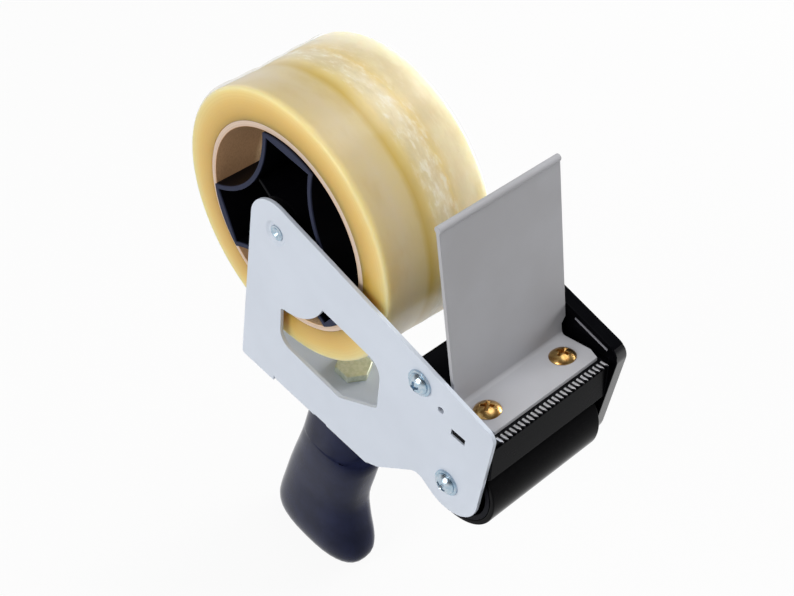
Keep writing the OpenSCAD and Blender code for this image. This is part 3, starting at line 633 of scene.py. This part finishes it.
def screw_blank(size):
    head_r, head_h, rim = size["head_r"], size["head_h"], HEAD_RIM * MM
    dome_r = (head_r ** 2 + (head_h - rim) ** 2) / (2 * (head_h - rim))
    half_angle = math.asin(min(1, head_r / dome_r))
    turns = [half_angle * k / DOME_STEPS for k in range(DOME_STEPS, 0, -1)]
    dome = [(dome_r * math.sin(turn), head_h - dome_r + dome_r * math.cos(turn)) for turn in turns]
    shank = [(size["shank_r"], -size["length"]), (size["shank_r"], 0)]
    profile = [*shank, (head_r, 0), *dome, (DOME_TOP_R * MM, head_h)]
    blank = shape_to_piece("screw_blank", lathe(profile, SCREW_STEPS))
    punch = shape_to_piece("cross_punch", cross_punch(head_r, head_h))
    cut = blank.modifiers.new("cross", "BOOLEAN")
    cut.object = punch
    cut.solver = "EXACT"
    cut.use_self = True
    flatten(blank)
    bpy.data.objects.remove(punch)
    shape = bmesh.new()
    shape.from_mesh(blank.data)
    bmesh.ops.remove_doubles(shape, verts=shape.verts, dist=MERGE_DISTANCE)
    ease(shape, EDGE_MM["screw"])
    shape.to_mesh(blank.data)
    shape.free()
    smooth(blank)
    return blank


def geometry_tree(name, inputs):
    tree = bpy.data.node_groups.new(name, "GeometryNodeTree")
    tree.interface.new_socket("Geometry", in_out="INPUT", socket_type="NodeSocketGeometry")
    for label, kind in inputs.items():
        tree.interface.new_socket(label, in_out="INPUT", socket_type="NodeSocket" + kind)
    tree.interface.new_socket("Geometry", in_out="OUTPUT", socket_type="NodeSocketGeometry")
    group = tree.nodes.new("NodeGroupInput")
    return tree, {socket.name: Wire(tree, socket) for socket in group.outputs if socket.name}


def tree_ends(tree, geometry, material):
    plain = geometry.make("GeometryNodeRealizeInstances", {"Geometry": geometry})
    dressed = geometry.make("GeometryNodeSetMaterial", {"Geometry": plain, "Material": material})
    geometry.make("NodeGroupOutput", {"Geometry": dressed})
    return tree


def run_tree(piece, tree, values):
    modifier = piece.modifiers.new(tree.name, "NODES")
    modifier.node_group = tree
    for item in tree.interface.items_tree:
        if item.in_out == "INPUT" and item.name in values:
            modifier[item.identifier] = values[item.name]
    flatten(piece)


def screw_tree():
    tree, given = geometry_tree("screws on places", {"Screw": "Object", "Finish": "Material"})
    screw = given["Screw"].make("GeometryNodeObjectInfo", {"Object": given["Screw"]}, out="Geometry")
    turn = screw.make("GeometryNodeInputNamedAttribute", {"Name": "turn"}, data_type="FLOAT_VECTOR")
    places = {"Points": given["Geometry"], "Instance": screw, "Rotation": turn}
    return tree_ends(tree, screw.make("GeometryNodeInstanceOnPoints", places), given["Finish"])


def set_screws(node, name, outward_of, spins, material):
    groups = sorted(islands(node), key=lambda points: min(tuple(point) for point in points))
    sizes, turns = [], []
    for points, spin in zip(groups, spins):
        outward = outward_of(points)
        sizes.append(read_screw(points, outward))
        upright = Vector((0, 0, 1)).rotation_difference(outward)
        turns.extend((upright @ Quaternion((0, 0, 1), math.radians(spin))).to_euler())
    blank = screw_blank(sizes[0])
    mesh = bpy.data.meshes.new(name)
    mesh.from_pydata([size["place"] for size in sizes], [], [])
    mesh.attributes.new("turn", "FLOAT_VECTOR", "POINT").data.foreach_set("vector", turns)
    piece = link(name, mesh)
    run_tree(piece, set_tree, {"Screw": blank, "Finish": material})
    bpy.data.objects.remove(blank)
    stands_for(piece, node)
    print(name, "on", len(sizes), "places,", len(piece.data.polygons), "faces")


def away_from_middle(points):
    return Vector((0, math.copysign(1, sum(p.y for p in points)), 0))


set_tree = screw_tree()
set_screws("frame_screws", "zinc_screws", away_from_middle, (20, 65, 40), zinc)
set_screws("press_screws", "yellow_screws", lambda points: off_seat, (35, 10), yellow_zinc)

# %% [markdown]
# ## Brake spring
# The spring sits between the hub and the knob and sets how hard the roll is held. A coil is a path with a
# round wire on it, so a spiral curve in Geometry Nodes makes it.

# %% Coil from a spiral curve
SPRING_WIRE = 1.4
SPRING_TURNS = 3.5
SPRING_STEPS = 40
WIRE_SIDES = 16
spring_low, spring_high = [Vector(corner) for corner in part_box("brake_spring")]


def spring_tree():
    tree, given = geometry_tree("coil spring", {
        "Turns": "Float", "Radius": "Float", "Height": "Float", "Wire": "Float",
        "Place": "Vector", "Finish": "Material"})
    start = given["Turns"]
    coil = start.make("GeometryNodeCurveSpiral", {
        "Resolution": SPRING_STEPS, "Rotations": given["Turns"], "Start Radius": given["Radius"],
        "End Radius": given["Radius"], "Height": given["Height"]})
    ring = {"Resolution": WIRE_SIDES, "Radius": given["Wire"]}
    wire = start.make("GeometryNodeCurvePrimitiveCircle", ring)
    body = start.make("GeometryNodeCurveToMesh", {"Curve": coil, "Profile Curve": wire, "Fill Caps": True})
    quarter = (-math.pi / 2, 0, 0)
    body = start.make("GeometryNodeTransform", {
        "Geometry": body, "Translation": given["Place"], "Rotation": quarter})
    return tree_ends(tree, body, given["Finish"])


coil = link("coil_spring", bpy.data.meshes.new("coil_spring"))
run_tree(coil, spring_tree(), {
    "Turns": SPRING_TURNS, "Radius": (spring_high.x - spring_low.x - SPRING_WIRE * MM) / 2,
    "Height": spring_high.y - spring_low.y - SPRING_WIRE * MM, "Wire": SPRING_WIRE * MM / 2,
    "Place": (hub_axis.x, spring_low.y + SPRING_WIRE * MM / 2, hub_axis.z), "Finish": spring_steel})
smooth(coil)
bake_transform(coil)
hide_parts("brake_spring")
print("spring from", round(spring_low.y / MM, 1), "to", round(spring_high.y / MM, 1), "mm")

# %% [markdown]
# ## Cardboard core
# The core is a tube of wound board. Its cut ends are pale and show the layers as fine rings. Inside it is
# brown, with the spiral of the strips it was wound from. The spiral is an angle plus a share of the length,
# so a pattern on the angle round the axle gives it without any seam.

# %% Board
tape_low, tape_high = [Vector(corner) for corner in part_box("tape_roll")]
core_low, core_high = [Vector(corner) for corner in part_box("tape_core")]
TAPE_R = (tape_high.z - tape_low.z) / 2 / MM
CORE_R = (core_high.z - core_low.z) / 2 / MM
CORE_WALL = 2.2
STRIP_PITCH = 66


def round_the_axle(spot):
    x, y, z = split(spot)
    radius = (x * x + z * z) ** 0.5
    angle = z.math("ARCTAN2", z, x) / (2 * math.pi)
    return radius, y, angle


def board(start):
    spot = place_mm(start, hub_axis)
    radius, y, angle = round_the_axle(spot)
    fibre = noise(spot, (0.9, 2.0, 0.9))
    strip = (y / STRIP_PITCH + angle).math("FRACT", y / STRIP_PITCH + angle)
    pale_strip = ramp(strip, 0.36, 0.4) * (1 - ramp(strip, 0.66, 0.7))
    inside = mix(pale_strip, screen(196, 152, 110), screen(236, 198, 152))
    inside = mix(ramp(fibre, 0.35, 0.7) * 0.5, inside, screen(168, 126, 88))
    layers = noise(radius.make("ShaderNodeCombineXYZ", {0: radius, 1: 0.0, 2: 0.0}), 4.0, detail=1)
    bore_r = CORE_R - CORE_WALL
    cut = mix(ramp(layers, 0.35, 0.65), screen(196, 168, 146), screen(224, 204, 188))
    return {
        "Base Color": mix(ramp(radius, bore_r + 0.15, bore_r + 0.4), inside, cut),
        "Roughness": 0.75 + 0.1 * (fibre - 0.5),
        "Normal": bump(fibre, 0.06, 0.6),
    }


eased("tape_core", "board_core", EDGE_MM["board"], finish("wound board", board))

# %% [markdown]
# ## Tape
# Packing tape is a clear film with amber glue. One layer is nearly clear, and the wound roll is amber where
# the cut edges show and paler on its face, where trapped air and glue make long bands. The air also lifts
# the outer layers, so the face swells a little towards the free side. A lathed ring with rounded rims
# carries all this: colour on the side by the distance from the axle, on the face by the place across the
# width. Both lists of colours start with the two ends and go on with what lies between. The pale stops at
# the rims are painted glow, and the palest end of the face towards the free side is partly trapped air and
# partly painted glow: colour that stands for light shining through the tape.

# %% Amber tape
RIM_RADIUS = 1.0
RIM_STEPS = 5
CORE_GAP = 0.05
TAPE_STEPS = 240
TAPE_W = (tape_high.y - tape_low.y) / MM
SWELL = [
    (0.0, 0.0), (0.33, 0.0), (0.4, -0.1), (0.44, 0.08), (0.5, 0.2), (0.55, 0.4), (0.61, 0.42),
    (0.67, 0.5), (0.73, 0.7), (0.83, 0.85), (0.92, 0.95), (1.0, 1.0)]
# Painted glow: the pale stops at the near rim and towards the free side stand for light through the tape.
FACE_BANDS_AND_GLOW = [
    (0.0, screen(228, 208, 150)), (1.0, screen(234, 230, 212)), (0.05, screen(202, 186, 144)),
    (0.22, screen(206, 191, 156)), (0.36, screen(210, 192, 142)), (0.41, screen(204, 177, 98)),
    (0.48, screen(222, 202, 140)), (0.55, screen(224, 211, 174)), (0.63, screen(230, 218, 186)),
    (0.7, screen(228, 208, 150)), (0.78, screen(226, 214, 178)), (0.92, screen(232, 225, 200))]
# Painted glow: the pale last stop at the outer rim stands for light through the tape.
SIDE_BANDS_AND_GLOW = [
    (0.0, screen(200, 148, 48)), (1.0, screen(238, 220, 166)), (0.2, screen(211, 166, 74)),
    (0.55, screen(223, 187, 102)), (0.85, screen(232, 206, 136))]


def spun(profile, steps, name, *materials):
    shape = bmesh.new()
    rings = []
    for step in range(steps):
        turn = 2 * math.pi * step / steps
        rings.append([
            shape.verts.new((hub_axis.x + r * MM * math.cos(turn), y, hub_axis.z + r * MM * math.sin(turn)))
            for r, y in profile])
    for step in range(steps):
        here, there = rings[step], rings[(step + 1) % steps]
        for k in range(len(profile)):
            following = (k + 1) % len(profile)
            shape.faces.new((here[k], here[following], there[following], there[k]))
    bmesh.ops.recalc_face_normals(shape, faces=shape.faces)
    return shape_to_piece(name, shape, *materials)


def rim_arc(y, swell, turn_from, turn_to, inward):
    share = (turn_to - turn_from) / RIM_STEPS
    turns = [math.radians(turn_from + share * k) for k in range(RIM_STEPS + 1)]
    centre_r = TAPE_R + swell - RIM_RADIUS
    inset = inward * MM * RIM_RADIUS
    return [(centre_r + RIM_RADIUS * math.cos(turn), y + inset * (1 - math.sin(turn))) for turn in turns]


def tape(start):
    spot = place_mm(start, (hub_axis.x, tape_low.y, hub_axis.z))
    radius, y = round_the_axle(spot)[:2]
    wander = noise(spot, (0.035, 0.05, 0.035)) - 0.5
    across = y / TAPE_W + 0.05 * wander
    face = across.make("ShaderNodeValToRGB", {0: across}, stops=FACE_BANDS_AND_GLOW)
    clouds = noise(spot, (0.05, 0.11, 0.05), detail=4)
    face = mix(ramp(clouds, 0.42, 0.68) * 0.3, face, screen(190, 166, 108))
    speckle = noise(spot, (0.17, 0.42, 0.17), detail=5, rough=0.62)
    bubbly = ramp(across, 0.46, 0.55) * (1 - 0.7 * ramp(across, 0.66, 0.78))
    face = mix(bubbly * ramp(speckle, 0.48, 0.68) * 0.6, face, screen(242, 238, 224))
    face = mix(bubbly * (1 - ramp(speckle, 0.34, 0.48)) * 0.35, face, screen(204, 190, 152))
    share = (radius - CORE_R) / (TAPE_R - CORE_R)
    side = share.make("ShaderNodeValToRGB", {0: share}, stops=SIDE_BANDS_AND_GLOW)
    rings = noise(radius.make("ShaderNodeCombineXYZ", {0: radius, 1: 0.0, 2: 0.0}), 1.6, detail=3)
    side = mix(ramp(rings, 0.4, 0.7) * 0.22, side, screen(206, 166, 86))
    is_face = ramp(radius, TAPE_R - 0.9, TAPE_R - 0.1)
    uneven = (bubbly * speckle + 0.5 * clouds) * is_face + 0.25 * rings
    return {
        "Base Color": mix(is_face, side, face),
        "Roughness": 0.34 - 0.06 * is_face + 0.15 * bubbly * speckle,
        "Normal": bump(uneven, 0.12, 0.35),
    }


face_points = [(TAPE_R + swell, tape_low.y + share * TAPE_W * MM) for share, swell in SWELL[1:-1]]
tape_profile = [
    (CORE_R + CORE_GAP, tape_low.y), *rim_arc(tape_low.y, SWELL[0][1], 90, 0, 1), *face_points,
    *rim_arc(tape_high.y, SWELL[-1][1], 0, 90, -1), (CORE_R + CORE_GAP, tape_high.y)]
amber = finish(
    "amber tape", tape, Coat_Weight=0.15, Coat_Roughness=0.18, Specular_IOR_Level=0.35,
    Subsurface_Weight=0.9, Subsurface_Radius=(1.0, 0.82, 0.5), Subsurface_Scale=15 * MM)
wound_tape = spun(tape_profile, TAPE_STEPS, "wound_tape", amber)
smooth(wound_tape)
stands_for(wound_tape, "tape_roll")
print("tape radius", round(TAPE_R, 1), "core radius", round(CORE_R, 1))

# %% [markdown]
# ## Free end of the tape
# The last layer of a roll ends in a torn-off edge with the marks of the cutter's teeth, and it stands a
# little off the roll. The film is a thin sheet laid round the roll, lifted more and more towards its end.
# Modelled as a sheet, it follows the roll's swell and turns with it.

# %% Lifted end
FILM_FROM = 160.0
FILM_TO = 132.0
FILM_ROWS = 20
FILM_TEETH = 14
COLUMNS_A_TOOTH = 4
TOOTH_TURN = 1.1
FILM_T = 0.06
FILM_INSET = 0.6
FILM_GAP = 0.05
NEAR_LIFT = 0.9
LIFT_LOSS = 0.3
WAVE_LIFT = 0.12
WAVES = 4.5


def swell_at(share):
    for (low, first), (high, second) in zip(SWELL, SWELL[1:]):
        if share <= high:
            return first + (second - first) * (share - low) / (high - low)
    return SWELL[-1][1]


def film_point(along, across):
    saw = abs(2 * ((across * FILM_TEETH) % 1) - 1)
    turn = math.radians(FILM_FROM + (FILM_TO - FILM_FROM + TOOTH_TURN * saw) * along)
    wave = WAVE_LIFT * math.sin(2 * math.pi * WAVES * across)
    lift = FILM_GAP + along ** 2 * (NEAR_LIFT - LIFT_LOSS * across + wave)
    r = (TAPE_R + swell_at(across) + lift) * MM
    y = tape_low.y + (FILM_INSET + across * (TAPE_W - 2 * FILM_INSET)) * MM
    return (hub_axis.x + r * math.cos(turn), y, hub_axis.z + r * math.sin(turn))


def film_end(material):
    shape = bmesh.new()
    columns = FILM_TEETH * COLUMNS_A_TOOTH
    grid = [[shape.verts.new(film_point(row / FILM_ROWS, k / columns)) for k in range(columns + 1)]
            for row in range(FILM_ROWS + 1)]
    for low, high in zip(grid, grid[1:]):
        for k in range(columns):
            shape.faces.new((low[k], low[k + 1], high[k + 1], high[k]))
    bmesh.ops.recalc_face_normals(shape, faces=shape.faces)
    bmesh.ops.solidify(shape, geom=shape.faces[:], thickness=FILM_T * MM)
    return shape_to_piece("tape_end", shape, material)


def clear_film(start):
    patches = noise(place_mm(start), 0.25)
    return {
        "Base Color": mix(ramp(patches, 0.35, 0.65), screen(226, 222, 196), screen(234, 234, 216)),
        "Roughness": 0.22 + 0.1 * (patches - 0.5),
    }


film = film_end(finish("clear film", clear_film, Alpha=0.16))
smooth(film)
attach(film, "roll")
print("free end of the tape has", len(film.data.polygons), "faces")

# %% [markdown]
# ## Studio
# The dispenser stands on the end of its grip on a plain white floor. Light comes from the plate's side, from
# above and from behind the free side, so the faces that look forward stay a tone darker. The light from
# behind shines through the tape, whose far rim glows. The floor shows white to the camera and in
# reflections, while its plain part still takes the shadow.

# %% Floor, world and lamps
FLOOR_SIZE = 8.0
FLOOR_GLOW = 0.93
WORLD_LIGHT = 0.25
ZENITH = 0.12
LAMP_AIM = (0, 0, 0.14)
WARM_WHITE = (1.0, 0.99, 0.97)


def seen_directly(start):
    rays = start.make("ShaderNodeLightPath", out="Is Camera Ray")
    outputs = rays.socket.node.outputs
    for name in ("Is Glossy Ray", "Is Transmission Ray"):
        rays = rays.math("MAXIMUM", rays, Wire(start.tree, outputs[name]))
    return rays


def floor_material():
    material = bpy.data.materials.new("white floor")
    material.use_nodes = True
    tree = material.node_tree
    tree.nodes.clear()
    start = Wire(tree)
    plain = start.make("ShaderNodeBsdfDiffuse", {"Color": screen(205, 205, 205)})
    glow = start.make("ShaderNodeEmission", {"Color": (1, 1, 1, 1), "Strength": 1.0})
    shown = start.make("ShaderNodeMixShader", {0: seen_directly(start) * FLOOR_GLOW, 1: plain, 2: glow})
    start.make("ShaderNodeOutputMaterial", {"Surface": shown})
    return material


def lamp(name, place, size, power, colour):
    light = bpy.data.lights.new(name, "AREA")
    light.shape = "DISK"
    light.size = size
    light.energy = power
    light.color = colour
    holder = link(name, light)
    holder.location = Vector(place)
    holder.rotation_mode = "QUATERNION"
    holder.rotation_quaternion = (Vector(LAMP_AIM) - Vector(place)).to_track_quat("-Z", "Y")


def place_floor():
    mesh = bpy.data.meshes.new("floor")
    half = FLOOR_SIZE / 2
    corners = [(-half, -half, 0), (half, -half, 0), (half, half, 0), (-half, half, 0)]
    mesh.from_pydata(corners, [], [(0, 1, 2, 3)])
    mesh.materials.append(floor_material())
    floor = link("floor", mesh)


def light_world():
    world = bpy.data.worlds.new("studio")
    bpy.context.scene.world = world
    world.use_nodes = True
    world.node_tree.nodes.clear()
    start = Wire(world.node_tree)
    height = split(start.make("ShaderNodeTexCoord", out="Generated"))[2]
    rays = start.make("ShaderNodeLightPath", out="Is Camera Ray")
    mirrored = 1 - (1 - ZENITH) * ramp(height, 0.0, 0.5) * (1 - rays)
    level = WORLD_LIGHT + (mirrored - WORLD_LIGHT) * seen_directly(start)
    sky = start.make("ShaderNodeBackground", {"Color": (1, 1, 1, 1), "Strength": level})
    start.make("ShaderNodeOutputWorld", {"Surface": sky})


place_floor()
light_world()
lamp("key", (-0.1, -1.4, 0.9), 0.9, 15.5, WARM_WHITE)
lamp("overhead", (-0.1, 0.3, 1.5), 1.0, 8.4, (1.0, 1.0, 1.0))
lamp("back", (0.28, 1.3, 0.45), 0.8, 19, WARM_WHITE)
bpy.context.scene.view_settings.view_transform = "Standard"
print("studio ready")
